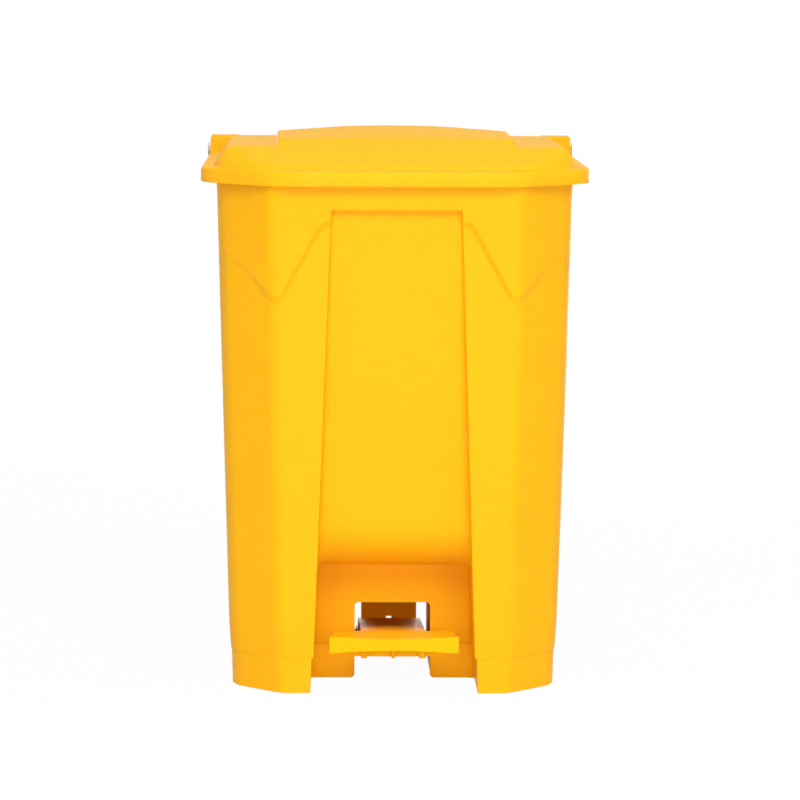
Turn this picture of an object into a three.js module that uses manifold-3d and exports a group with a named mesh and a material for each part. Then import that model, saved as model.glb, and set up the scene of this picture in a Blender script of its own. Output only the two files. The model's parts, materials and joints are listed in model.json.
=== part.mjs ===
// Pedal bin: a drafted plastic bucket, an overhanging two-tier lid and a lever pedal that lifts it.
// Millimetres. X runs right as seen from the front, Y runs to the back, Z runs up.
// The origin lies on the floor, under the middle of the bin's bounding box.
import * as THREE from "three";
import { mergeVertices } from "three/addons/utils/BufferGeometryUtils.js";
import Module from "manifold-3d";

const wasm = await Module();
wasm.setup();

// ---- Fits ----
const GAP = 0.3; // between touching pieces, and round every pin in its hole
const WALL = 3; // moulded wall

// ---- Bucket ----
const RIM_Z = 564.7; // top edge of the bucket, under the lid
const RIM_HALF_WIDTH = 194.3;
const SIDE_DRAFT = 16.4; // each side stands this much further in at the floor
const FOOT_FRONT = 166.3; // the front face's distance from the origin plane, at the floor
const FRONT_DRAFT = 16.1;
const FOOT_REAR = 158; // the same for the rear wall
const REAR_DRAFT = 11;
const CORNER_WIDTH = 53.9; // the cut-off front corner, across the front at the floor
const CORNER_DEPTH = 57.4; // the same corner, along the side
const BLEND = 20; // length of the soft bends at the cut-off corner
const REAR_BLEND = 24;
const NECK_DROP = 36.7; // down to here from the rim the rear wall stands forward, so the lid can swing
const RIM_FLANGE = 3; // width of the flange that the lid rests on
const RIM_FLANGE_T = 6;
const BAND_Z = 38.6; // top of the base band
const BAND_INSET = 2;
const FLOOR_Z = 108; // upper face of the bucket's floor

// ---- Collar above the V ledges ----
const COLLAR_PROUD = 4.5;
const LEDGE_KNEE_OUT = 9.8; // the ledge leaves the recess's top corner by this much
const LEDGE_KNEE_DROP = 51.7; // down from the rim, as are the next two
const LEDGE_TIP_DROP = 134.7;
const LEDGE_END_DROP = 84.7;

// ---- Front recess ----
const RECESS_DROP = 37.7; // from the rim to the recess's top edge
const RECESS_TAPER = 19.8; // each side stands this much further in at the top
const RECESS_FILLET = 12;
const TREAD_ROOM = 20; // beside the tread
const PANEL_SETBACK = 6.4; // from the rim's front to the panel's top edge
const PANEL_SLOPE = 26; // the panel falls back this much down to its rounded bottom
const PANEL_LOW_Z = 185;
const KNEE_Z = 128; // the rounded bottom meets the lower panel here
const TOE_DEPTH = 104.3; // from the foot of the front face to the lower panel

// ---- Hinge ----
const HINGE_SETBACK = 9; // behind the rear wall's rim
const HINGE_RISE = 5.3; // above the rim
const HINGE_PIN_R = 4;
const HINGE_HEAD_R = 8.6;
const HINGE_HEAD_T = 1.8;
const KNUCKLE_WALL = 6; // round the pin
const KNUCKLE_WIDTH = 16.5;
const KNUCKLE_ARM = { reach: 18, top: 13, root: 38 }; // in front of the hinge, and below it
const NECK_SETBACK = 28; // the neck's rear face, in front of the hinge
const LID_OPEN = THREE.MathUtils.degToRad(75);

// ---- Lid: overhangs from the bucket's rim, then insets from the lid's own widest lines ----
const LID_OVERHANG = 16.7;
const LID_FRONT_OVERHANG = 17.6;
const LID_REAR_REACH = 22; // behind the hinge
const LID_RIM = { corner: 80, chamfer: 73, straight: 37, taper: 4.5, blend: 25 };
const DOME_FOOT = { corner: 63, front: 14, side: 13, chamfer: 56, rearSide: 19, rear: 4, blend: 18 };
const TIER_EDGE = { corner: 51, front: 70, side: 29, chamfer: 12, rearSide: 32, rear: 18, blend: 8 };
const CROWN_EDGE = { front: 90, side: 87, rear: 80, blend: 14 };
const CROWN_SLOPE = { front: 41, side: 7, rear: 12 }; // how far its foot spreads beyond its edge
const CROWN_STEPS = [
  [1, 0],
  [0.7, 0.62],
  [0.35, 1],
]; // shares of the crown's width and of its last rise
const SKIRT_DROP = 12.7; // the lid's lower edge, below the bucket's rim
const SKIRT_REAR_DROP = 4.7; // the same behind, where the edge swings down
const RIM_BAND_RISE = 3.3; // heights above the bucket's rim
const RIM_BAND_ROUND = 2.5;
const DOME_FOOT_RISE = 5.8;
const TIER_FRONT_RISE = 26.8;
const TIER_REAR_RISE = 22.6;
const CROWN_EDGE_RISE = 34.8;
const CROWN_TOP_RISE = 40.3;
const CROWN_SINK = 4; // the crown's foot starts this far inside the tier
const EAR_WIDTH = 34.5;
const EAR_FRONT_REACH = 22; // in front of the hinge
const EAR_ROUND = 5;
const EAR_CLEARANCE = 1; // between an ear's inner cheek and the knuckle

// ---- Lift linkage ----
const LINK_PIN_R = 4;
const LUG_REACH = 27; // the upper link pin lies this far in front of the hinge
const LUG_SLOT_PLAY = 1.25; // the open pivot: half of what the lug slot is wider than its pin
const LUG_SLOT_SHORT = 2; // the slot runs this much nearer to the hinge than the closed pin
const LUG_WALL = 5;
const LUG_T = 4;
const LUG_WEB = { front: 9, rear: 14, foot: 6, rise: 8 }; // the web that joins a lug to the lid
const LUG_CLEARANCE = 2; // between the push bar and each lug
const LIFT_SHARE = 0.95; // share of the exact rise, which evens out the error of a constant ratio
const AXLE_SETBACK = 42; // behind the lower panel
const AXLE_Z = 38;
const AXLE_R = 5;
const AXLE_HUB = 4; // wall round the axle
const BAR_HALF = 31.5;
const BAR_FRONT = 10; // the web's front face, in front of the link pins
const BAR_DEPTH = 16;
const BAR_T = 3;
const BAR_END_R = 8;
const BAR_WEB_PAST = 4; // the web runs past both link pins
const BAR_HOLE = { halfWidth: 3, z: 38, height: 3 };
const ARM_T = 3;
const FORK_CLEARANCE = 1; // between the push bar and the lever's fork
const TUNNEL_CLEARANCE = 7.2; // beside the lever's arm
const CHANNEL_CLEARANCE = 8; // in front of the push bar
const SLOT_LIP = 1; // the slot in the lower panel is narrower than the tunnel on each side
const SLOT_TOP = 84.5;

// ---- Pedal ----
const TREAD_HALF = 70;
const TREAD_SETBACK = 1.3; // behind the foot of the front face
const TREAD_DEPTH = 50;
const TREAD_LAND = 8; // the tread keeps its full width over this depth
const TREAD_TAPER = 5.5; // each side stands this much further in at the rear
const TREAD_TOP = 60;
const TREAD_T = 15;
const TREAD_ROUND = 3;
const TREAD_HORN = 2.4; // how far the tread's two ends rise above its middle
const SKIRT_DEPTH = 12; // the tread's rear skirt hangs this far below it
const SKIRT_INSET = 10;
const RIB_HALF_T = 1.5;
const RIB_DEPTH = 3; // the ribs hang this far below the tread
const FLANGE_LAND = 14; // half-length of the arm flange's straight edge under the axle
const FLANGE_DROP = 10; // that edge, below the axle
const FORK_R = 9;
const FORK_OPENING = 15; // the arm's deck ends this far in front of the lower link pin
const DECK_ABOVE_PIN = 18;

// ---- Clips, straps and screws ----
const CLIP_T = 1.6;
const CLIP_RIM = 3; // a clip's radius beyond its pin
const PIN_END = 3; // a pin shows this far past its clip's seat
const STRAP_LEVELS = [0.336, 0.761]; // shares of the rim's height
const STRAP_HALF_Z = 12;
const STRAP_T = 3;
const STRAP_EDGE = 8; // beyond the screw
const STRAP_PROUD = 1.5; // the seat's height off the rear wall
const STRAP_CLEARANCE = 2.4; // behind the push bar
const SCREW_OUT = 11.3; // beside the channel
const SCREW_R = 2;
const SCREW_HEAD_R = 4.5;
const SCREW_HEAD_T = 2.6;
const SCREW_LENGTH = 12;
const BOSS_HALF = 7;
const PAD_INSET = 8; // the slide pads are this much narrower than the bar on each side
const PAD_CLEARANCE = 1.2;

// ---- Worked-out heights ----
const NECK_Z = RIM_Z - NECK_DROP;
const RECESS_TOP = RIM_Z - RECESS_DROP;
const LEDGE_KNEE_Z = RIM_Z - LEDGE_KNEE_DROP;
const LEDGE_TIP_Z = RIM_Z - LEDGE_TIP_DROP;
const LEDGE_END_Z = RIM_Z - LEDGE_END_DROP;
const HINGE_Z = RIM_Z + HINGE_RISE;
const SKIRT_Z = RIM_Z - SKIRT_DROP;
const SKIRT_REAR_Z = RIM_Z - SKIRT_REAR_DROP;
const RIM_BAND_Z = RIM_Z + RIM_BAND_RISE;
const DOME_FOOT_Z = RIM_Z + DOME_FOOT_RISE;
const TIER_FRONT_Z = RIM_Z + TIER_FRONT_RISE;
const TIER_REAR_Z = RIM_Z + TIER_REAR_RISE;
const CROWN_EDGE_Z = RIM_Z + CROWN_EDGE_RISE;
const CROWN_TOP_Z = RIM_Z + CROWN_TOP_RISE;
const HALF_LIFT = LIFT_SHARE * LUG_REACH * Math.tan(LID_OPEN / 2);
const UPPER_PIN_Z = HINGE_Z - HALF_LIFT;
const LOWER_PIN_Z = AXLE_Z - HALF_LIFT;
const STRAP_ZS = STRAP_LEVELS.map((level) => level * RIM_Z);

// ---- Worked-out widths and depths ----
const FOOT_HALF_WIDTH = RIM_HALF_WIDTH - SIDE_DRAFT;
const CORNER_START = FOOT_HALF_WIDTH - CORNER_WIDTH;
const RIM_FRONT = FOOT_FRONT + FRONT_DRAFT;
const RIM_REAR = FOOT_REAR + REAR_DRAFT;
const RECESS_HALF_FOOT = TREAD_HALF + TREAD_ROOM;
const RECESS_HALF_TOP = RECESS_HALF_FOOT - RECESS_TAPER;
const PANEL_TOP_Y = -RIM_FRONT + PANEL_SETBACK;
const PANEL_LOW_Y = PANEL_TOP_Y + PANEL_SLOPE;
const LOWER_PANEL_Y = -FOOT_FRONT + TOE_DEPTH;
const TREAD_FRONT_Y = -FOOT_FRONT + TREAD_SETBACK;
const TREAD_REAR_Y = TREAD_FRONT_Y + TREAD_DEPTH;
const TREAD_REAR_HALF = TREAD_HALF - TREAD_TAPER;
const TREAD_BOTTOM = TREAD_TOP - TREAD_T;
const HINGE_Y = RIM_REAR + HINGE_SETBACK;
const NECK_REAR = HINGE_Y - NECK_SETBACK;
const LID_HALF_WIDTH = RIM_HALF_WIDTH + LID_OVERHANG;
const LID_HALF_REAR = LID_HALF_WIDTH - LID_RIM.taper;
const LID_FRONT_Y = -RIM_FRONT - LID_FRONT_OVERHANG;
const LID_REAR_Y = HINGE_Y + LID_REAR_REACH;
const TIER_FRONT_Y = LID_FRONT_Y + TIER_EDGE.front;
const TIER_REAR_Y = LID_REAR_Y - TIER_EDGE.rear;
const EAR_IN = LID_HALF_REAR - EAR_WIDTH;
const EAR_FRONT_Y = HINGE_Y - EAR_FRONT_REACH;
const KNUCKLE_IN = EAR_IN + WALL + EAR_CLEARANCE;
const KNUCKLE_OUT = KNUCKLE_IN + KNUCKLE_WIDTH;
const BAR_Y = HINGE_Y - LUG_REACH;
const AXLE_Y = LOWER_PANEL_Y + AXLE_SETBACK;
const BAR_FRONT_Y = BAR_Y - BAR_FRONT;
const BAR_REAR_Y = BAR_FRONT_Y + BAR_DEPTH;
const CHANNEL_BACK_Y = BAR_FRONT_Y - CHANNEL_CLEARANCE;
const ARM_HALF = BAR_HALF + FORK_CLEARANCE + ARM_T;
const TUNNEL_HALF = ARM_HALF + TUNNEL_CLEARANCE;
const SLOT_HALF = TUNNEL_HALF - SLOT_LIP;
const LUG_IN = BAR_HALF + LUG_CLEARANCE;
const LUG_OUT = LUG_IN + LUG_T;
const SCREW_X = TUNNEL_HALF + SCREW_OUT;
const STRAP_HALF_X = SCREW_X + STRAP_EDGE;

// ---- Solids ----
const lerp = THREE.MathUtils.lerp;
const SIDES = [
  ["left", -1],
  ["right", 1],
];

/** A closed geometry as a solid that can be cut and joined. */
function solid(geometry) {
  const bare = geometry.clone();
  bare.deleteAttribute("normal");
  bare.deleteAttribute("uv");
  const merged = mergeVertices(bare, 1e-4);
  const vertProperties = new Float32Array(merged.attributes.position.array);
  const triVerts = new Uint32Array(merged.index.array);
  return new wasm.Manifold(new wasm.Mesh({ numProp: 3, vertProperties, triVerts }));
}

/** A named mesh of a solid. */
function mesh(name, body, material) {
  const { numProp, vertProperties, triVerts } = body.getMesh();
  const count = vertProperties.length / numProp;
  const positions = new Float32Array(count * 3);
  for (let i = 0; i < count; i++) {
    positions.set(vertProperties.subarray(i * numProp, i * numProp + 3), i * 3);
  }
  const geometry = new THREE.BufferGeometry();
  geometry.setAttribute("position", new THREE.BufferAttribute(positions, 3));
  geometry.setIndex(new THREE.BufferAttribute(new Uint32Array(triVerts), 1));
  geometry.computeVertexNormals();
  const made = new THREE.Mesh(geometry, material);
  made.name = name;
  return made;
}

function box([x0, x1], [y0, y1], [z0, z1]) {
  const geometry = new THREE.BoxGeometry(x1 - x0, y1 - y0, z1 - z0);
  return solid(geometry.translate((x0 + x1) / 2, (y0 + y1) / 2, (z0 + z1) / 2));
}

/** A round bar along X. */
function rod(radius, [x0, x1], y, z, sides = 24) {
  const geometry = new THREE.CylinderGeometry(radius, radius, x1 - x0, sides);
  geometry.rotateZ(Math.PI / 2);
  return solid(geometry.translate((x0 + x1) / 2, y, z));
}

/** A round bar along Y. */
function stud(radius, x, [y0, y1], z, sides = 20) {
  const geometry = new THREE.CylinderGeometry(radius, radius, y1 - y0, sides);
  return solid(geometry.translate(x, (y0 + y1) / 2, z));
}

/** A plate across X, whose outline is a shape of (y, z). */
function plate(shape, [x0, x1]) {
  const geometry = new THREE.ExtrudeGeometry(shape, { depth: x1 - x0, bevelEnabled: false });
  const axes = new THREE.Matrix4().makeBasis(
    new THREE.Vector3(0, 1, 0),
    new THREE.Vector3(0, 0, 1),
    new THREE.Vector3(1, 0, 0),
  );
  return solid(geometry.applyMatrix4(axes).translate(x0, 0, 0));
}

function polygon(points) {
  return new THREE.Shape(points.map(([a, b]) => new THREE.Vector2(a, b)));
}

/** Points of an arc, counter-clockwise between two angles in degrees. */
function arc(centreA, centreB, radius, from, to, steps = 12) {
  return Array.from({ length: steps + 1 }, (_, i) => {
    const angle = THREE.MathUtils.degToRad(lerp(from, to, i / steps));
    return [centreA + radius * Math.cos(angle), centreB + radius * Math.sin(angle)];
  });
}

/** The pair of x values on one side of the middle plane, in rising order. */
function onSide(side, inner, outer) {
  return side < 0 ? [-outer, -inner] : [inner, outer];
}

/** Half of an outline, given as [x, y, bend] corners from front to back, made whole by mirroring. */
function outline(half, divisions = 5) {
  const left = [...half].reverse().map(([x, y, bend]) => [-x, y, bend]);
  const corners = [...half, ...left];
  const at = ([x, y]) => new THREE.Vector2(x, y);
  return corners.flatMap((corner, i) => {
    const here = at(corner);
    const before = at(corners.at(i - 1)).sub(here).setLength(corner[2]).add(here);
    const after = at(corners[(i + 1) % corners.length]).sub(here).setLength(corner[2]).add(here);
    return new THREE.QuadraticBezierCurve(before, here, after).getPoints(divisions);
  });
}

/** A closed body through a stack of outlines; each ring is {points, z}, with z a number or f(x, y). */
function loft(rings) {
  const count = rings[0].points.length;
  const positions = rings.flatMap(({ points, z }) =>
    points.flatMap(({ x, y }) => [x, y, typeof z === "function" ? z(x, y) : z]),
  );
  const cap = THREE.ShapeUtils.triangulateShape(rings[0].points, []);
  const topCap = THREE.ShapeUtils.triangulateShape(rings.at(-1).points, []);
  const top = (rings.length - 1) * count;
  const index = cap.flatMap(([a, b, c]) => [a, c, b]);
  index.push(...topCap.flatMap(([a, b, c]) => [a + top, b + top, c + top]));
  for (let ring = 0; ring < top; ring += count) {
    for (let i = 0; i < count; i++) {
      const next = (i + 1) % count;
      const [a, b, c, d] = [ring + i, ring + next, ring + count + next, ring + count + i];
      index.push(a, b, c, a, c, d);
    }
  }
  const geometry = new THREE.BufferGeometry();
  geometry.setAttribute("position", new THREE.Float32BufferAttribute(positions, 3));
  geometry.setIndex(index);
  return solid(geometry);
}

const join = (parts) => parts.reduce((whole, part) => whole.add(part));
const cut = (body, tools) => tools.reduce((rest, tool) => rest.subtract(tool), body);

// ---- Bucket ----
const FAR = 400; // longer than any cut needs

function rearFace(z) {
  return lerp(FOOT_REAR, RIM_REAR, z / RIM_Z);
}

/** How much wider the bucket is at a height than at the floor, as a ratio. */
function growth(z) {
  return lerp(1, RIM_HALF_WIDTH / FOOT_HALF_WIDTH, z / RIM_Z);
}

/** The bucket's outline at a height, drawn in by an inset; proud moves the front face out. */
function bucketRing(z, inset = 0, proud = 0) {
  const grow = growth(z);
  const front = lerp(FOOT_FRONT, RIM_FRONT, z / RIM_Z);
  const side = FOOT_HALF_WIDTH * grow - inset;
  const bend = inset * Math.tan(Math.PI / 8);
  const half = [
    [CORNER_START * grow - bend, -(front + proud) + inset, BLEND],
    [side, -(front - CORNER_DEPTH * grow) + bend, BLEND],
    [side, rearFace(z) - inset, REAR_BLEND],
  ];
  return { points: outline(half), z };
}

/** The space of the front recess, made larger on every face by grow. */
function recessSpace(grow) {
  const ring = (z, y, bend = RECESS_FILLET) => {
    const halfWidth = lerp(RECESS_HALF_FOOT, RECESS_HALF_TOP, z / RECESS_TOP) + grow;
    const half = [
      [halfWidth, -FAR / 2, 1],
      [halfWidth, y, bend],
    ];
    return { points: outline(half), z };
  };
  const rings = [ring(-1, LOWER_PANEL_Y + grow), ring(KNEE_Z + grow - 0.5, LOWER_PANEL_Y + grow)];
  for (const degrees of [10, 30, 50, 70, 90]) {
    const a = THREE.MathUtils.degToRad(degrees);
    const y = LOWER_PANEL_Y + (PANEL_LOW_Y - LOWER_PANEL_Y + grow) * Math.sin(a);
    rings.push(ring(PANEL_LOW_Z - (PANEL_LOW_Z - KNEE_Z - grow) * Math.cos(a), y));
  }
  rings.push(ring(RECESS_TOP + grow, PANEL_TOP_Y + grow));
  return loft(rings);
}

/** The proud collar above the V ledges. */
function collar() {
  const whole = loft([bucketRing(LEDGE_TIP_Z - 1, 0, COLLAR_PROUD), bucketRing(RIM_Z, 0, COLLAR_PROUD)]);
  const side = RIM_HALF_WIDTH + 1;
  const kneeX = RECESS_HALF_TOP + LEDGE_KNEE_OUT;
  const tipX = CORNER_START * growth(LEDGE_TIP_Z);
  const below = [
    [-side, 0],
    [side, 0],
    [side, LEDGE_END_Z],
    [tipX, LEDGE_TIP_Z],
    [kneeX, LEDGE_KNEE_Z],
    [-kneeX, LEDGE_KNEE_Z],
    [-tipX, LEDGE_TIP_Z],
    [-side, LEDGE_END_Z],
  ];
  const prism = new THREE.ExtrudeGeometry(polygon(below), { depth: FAR, bevelEnabled: false });
  prism.rotateX(Math.PI / 2);
  const rear = box([-FAR, FAR], [0, FAR], [0, RIM_Z + 1]);
  return cut(whole, [solid(prism), rear]);
}

function bucketOutside() {
  const band = loft([bucketRing(0, BAND_INSET), bucketRing(BAND_Z + 1, BAND_INSET)]);
  const upper = loft([bucketRing(BAND_Z), bucketRing(RIM_Z)]);
  const flange = loft([
    bucketRing(RIM_Z - RIM_FLANGE_T, -RIM_FLANGE, COLLAR_PROUD),
    bucketRing(RIM_Z, -RIM_FLANGE, COLLAR_PROUD),
  ]);
  const behindNeck = box([-FAR, FAR], [NECK_REAR, FAR], [NECK_Z, RIM_Z + 1]);
  const channel = box([-TUNNEL_HALF, TUNNEL_HALF], [CHANNEL_BACK_Y, FAR], [-1, RIM_Z + 1]);
  return cut(join([band, upper, collar(), flange]), [behindNeck, channel, recessSpace(0)]);
}

/** What fills the bucket: the bin's inside above its floor. */
function bucketInside() {
  const hollow = loft([bucketRing(FLOOR_Z, WALL), bucketRing(RIM_Z + 1, WALL)]);
  const half = TUNNEL_HALF + WALL;
  return cut(hollow, [
    recessSpace(WALL),
    box([-half, half], [CHANNEL_BACK_Y - WALL, FAR], [0, RIM_Z + 2]),
    box([-FAR, FAR], [NECK_REAR - WALL, FAR], [NECK_Z - WALL, RIM_Z + 2]),
  ]);
}

/** The open space under the floor, between the skirt, the recess and the two tunnel ribs. */
function underside() {
  const top = FLOOR_Z - WALL;
  const hollow = loft([bucketRing(-1, WALL + BAND_INSET), bucketRing(top, WALL + BAND_INSET)]);
  const ribs = SIDES.map(([, side]) =>
    box(onSide(side, TUNNEL_HALF, TUNNEL_HALF + WALL), [-FAR, FAR], [-2, top + 1]),
  );
  return cut(hollow, [recessSpace(WALL), ...ribs]);
}

/** One of the two knuckles that carry the lid, behind the neck. */
function knuckle(side) {
  const { reach, top, root } = KNUCKLE_ARM;
  const shape = polygon([
    [NECK_REAR - 1, HINGE_Z - root],
    ...arc(HINGE_Y, HINGE_Z, HINGE_PIN_R + KNUCKLE_WALL, -50, 190),
    [HINGE_Y - reach, HINGE_Z - top],
    [NECK_REAR - 1, HINGE_Z - top],
  ]);
  return plate(shape, onSide(side, KNUCKLE_IN, KNUCKLE_OUT));
}

/** The pads in the channel that the push bar slides on, and the bosses that take the strap screws. */
function guideBlocks(z) {
  const pad = box(
    [-BAR_HALF + PAD_INSET, BAR_HALF - PAD_INSET],
    [CHANNEL_BACK_Y - 1, BAR_FRONT_Y - PAD_CLEARANCE],
    [z - STRAP_HALF_Z, z + STRAP_HALF_Z],
  );
  const bosses = SIDES.map(([, side]) =>
    box(
      onSide(side, TUNNEL_HALF + 1, SCREW_X + BOSS_HALF),
      [strapSeat(z) - SCREW_LENGTH - WALL, strapSeat(z)],
      [z - STRAP_HALF_Z, z + STRAP_HALF_Z],
    ),
  );
  return [pad, ...bosses];
}

/** The flat that a guide strap is screwed to. */
function strapSeat(z) {
  return rearFace(z + STRAP_HALF_Z) + STRAP_PROUD;
}

function bodyShell() {
  let shell = cut(bucketOutside(), [bucketInside(), underside()]);
  const knuckles = SIDES.map(([, side]) => knuckle(side));
  shell = join([shell, ...knuckles, ...STRAP_ZS.flatMap(guideBlocks)]);
  const slotYs = [LOWER_PANEL_Y - 1, LOWER_PANEL_Y + WALL + 1];
  const slot = box([-SLOT_HALF, SLOT_HALF], slotYs, [-1, SLOT_TOP]);
  const ribOuter = TUNNEL_HALF + WALL + 1;
  const axleHole = rod(AXLE_R + GAP, [-ribOuter, ribOuter], AXLE_Y, AXLE_Z);
  const pinHoles = rod(HINGE_PIN_R + GAP, [-KNUCKLE_OUT - 1, KNUCKLE_OUT + 1], HINGE_Y, HINGE_Z);
  const screwHoles = STRAP_ZS.flatMap((z) =>
    SIDES.map(([, side]) =>
      stud(SCREW_R + GAP, side * SCREW_X, [strapSeat(z) - SCREW_LENGTH, strapSeat(z) + 1], z),
    ),
  );
  return cut(shell, [slot, axleHole, pinHoles, ...screwHoles]);
}

// ---- Lid ----
/** The lid's rim outline, drawn in by an inset. */
function lidRing(z, inset = 0) {
  const { corner, chamfer, straight, blend } = LID_RIM;
  const bend = inset * Math.tan(Math.PI / 8);
  const side = LID_HALF_WIDTH - inset;
  const half = [
    [LID_HALF_WIDTH - corner - bend, LID_FRONT_Y + inset, blend],
    [side, LID_FRONT_Y + chamfer + bend, blend],
    [side, LID_FRONT_Y + chamfer + straight, straight / 4],
    [LID_HALF_REAR - inset, EAR_FRONT_Y, 12],
    [LID_HALF_REAR - inset, LID_REAR_Y - inset, 8],
  ];
  return { points: outline(half), z };
}

/** The dome's outline part-way up its lower slope: 0 is the foot, 1 the tier's edge. */
function domeRing(t, inset, drop) {
  const at = (key) => lerp(DOME_FOOT[key], TIER_EDGE[key], t);
  const front = LID_FRONT_Y + at("front");
  const half = [
    [LID_HALF_WIDTH - at("corner"), front + inset, at("blend")],
    [LID_HALF_WIDTH - at("side") - inset, front + at("chamfer"), at("blend")],
    [LID_HALF_WIDTH - at("rearSide") - inset, LID_REAR_Y - at("rear") - inset, TIER_EDGE.blend],
  ];
  const height = (x, y) => {
    const back = (y - TIER_FRONT_Y) / (TIER_REAR_Y - TIER_FRONT_Y);
    return lerp(DOME_FOOT_Z, lerp(TIER_FRONT_Z, TIER_REAR_Z, back), t) - drop;
  };
  return { points: outline(half), z: height };
}

/** The crown's outline: 0 is its foot inside the tier, 1 its edge. */
function crownRing(t, shrink, z, inset) {
  const { front, side, rear, blend } = CROWN_EDGE;
  const spread = (slope) => slope * (1 - t) - inset;
  const halfWidth = (LID_HALF_WIDTH - side + spread(CROWN_SLOPE.side)) * shrink;
  const half = [
    [halfWidth, (LID_FRONT_Y + front - spread(CROWN_SLOPE.front)) * shrink, blend * shrink],
    [halfWidth, (LID_REAR_Y - rear + spread(CROWN_SLOPE.rear)) * shrink, blend * shrink],
  ];
  return { points: outline(half), z };
}

function crown(drop, inset) {
  const foot = crownRing(0, 1, TIER_REAR_Z - CROWN_SINK - drop, inset);
  const steps = CROWN_STEPS.map(([shrink, share]) =>
    crownRing(1, shrink, lerp(CROWN_EDGE_Z, CROWN_TOP_Z, share) - drop, inset),
  );
  return loft([foot, ...steps]);
}

function lidOutside() {
  const rim = loft([
    lidRing(SKIRT_Z),
    lidRing(RIM_BAND_Z - RIM_BAND_ROUND),
    lidRing(RIM_BAND_Z, RIM_BAND_ROUND),
  ]);
  const dome = loft([domeRing(0, 0, DOME_FOOT_RISE), domeRing(0, 0, 0), domeRing(1, 0, 0)]);
  const sill = box([-FAR, FAR], [-FAR, FAR], [0, RIM_BAND_Z - WALL]);
  return join([rim, dome.subtract(sill), crown(0, 0)]);
}

function lidInside() {
  const rim = loft([lidRing(SKIRT_Z - 1, WALL), lidRing(RIM_BAND_Z - WALL, WALL)]);
  const dome = loft([domeRing(0, WALL, SKIRT_DROP), domeRing(0, WALL, WALL), domeRing(1, WALL, WALL)]);
  return join([rim, dome, crown(WALL, WALL)]);
}

/** The block that each hinge ear is hollowed from, and the hollow itself. */
function earBlock(side, inset) {
  const [front, rear] = [EAR_FRONT_Y + inset, LID_REAR_Y - inset];
  const top = TIER_REAR_Z - inset;
  const bottom = inset ? SKIRT_Z : SKIRT_REAR_Z;
  const shape = polygon([
    [front, bottom],
    [rear, bottom],
    ...arc(rear - EAR_ROUND, top - EAR_ROUND, EAR_ROUND, 0, 90, 4),
    [front, top],
  ]);
  return plate(shape, onSide(side, EAR_IN + inset, LID_HALF_REAR - inset));
}

/** An ear's inner cheek, which closes the ear off from the dome. */
function earCheek(side) {
  const ys = [EAR_FRONT_Y, LID_REAR_Y - 1];
  return box(onSide(side, EAR_IN, EAR_IN + WALL), ys, [SKIRT_REAR_Z, TIER_REAR_Z - WALL]);
}

/** The boss inside an ear's outer cheek, which keeps the lid from sliding sideways. */
function earBoss(side) {
  return rod(HINGE_HEAD_R, onSide(side, KNUCKLE_OUT + 2 * GAP, LID_HALF_REAR - 1), HINGE_Y, HINGE_Z);
}

/** A lug under the lid, with the slot that the upper link pin slides in. */
function liftLug(side) {
  const lean = LID_OPEN / 2;
  const reach = [LUG_REACH - LUG_SLOT_SHORT, LUG_REACH / Math.cos(lean)];
  const slotR = LINK_PIN_R + LUG_SLOT_PLAY;
  const at = (r) => [HINGE_Y - r * Math.cos(lean), HINGE_Z - r * Math.sin(lean)];
  const across = 90 + THREE.MathUtils.radToDeg(lean);
  const capsule = (radius) =>
    polygon([
      ...arc(...at(reach[1]), radius, across, across + 180),
      ...arc(...at(reach[0]), radius, across - 180, across),
    ]);
  const [, farZ] = at(reach[1]);
  const { front, rear, foot, rise } = LUG_WEB;
  const web = polygon([
    [BAR_Y - foot, farZ],
    [BAR_Y + rear, farZ + rise],
    [BAR_Y + rear, TIER_REAR_Z],
    [BAR_Y - front, TIER_REAR_Z],
  ]);
  const xs = onSide(side, LUG_IN, LUG_OUT);
  const tongue = plate(capsule(slotR + LUG_WALL), xs).add(plate(web, xs));
  return tongue.subtract(plate(capsule(slotR), onSide(side, LUG_IN - 1, LUG_OUT + 1)));
}

function lidShell() {
  const both = (make) => SIDES.map(([, side]) => make(side));
  const rearCut = box([-FAR, FAR], [EAR_FRONT_Y, FAR], [0, SKIRT_REAR_Z]);
  const keep = join([lidOutside(), ...both((side) => earBlock(side, 0))]);
  const inside = join([lidInside(), ...both((side) => earBlock(side, WALL))]);
  const shell = join([cut(keep, [inside, rearCut]), ...both(earCheek), ...both(liftLug), ...both(earBoss)]);
  return shell.subtract(rod(HINGE_PIN_R + GAP, [-FAR, FAR], HINGE_Y, HINGE_Z));
}

// ---- Pedal lever ----
/** Height of the arm's upper face at a depth, at rest. */
function armTop(y) {
  return lerp(TREAD_TOP, LOWER_PIN_Z + DECK_ABOVE_PIN, (y - TREAD_REAR_Y) / (BAR_Y - TREAD_REAR_Y));
}

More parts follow.
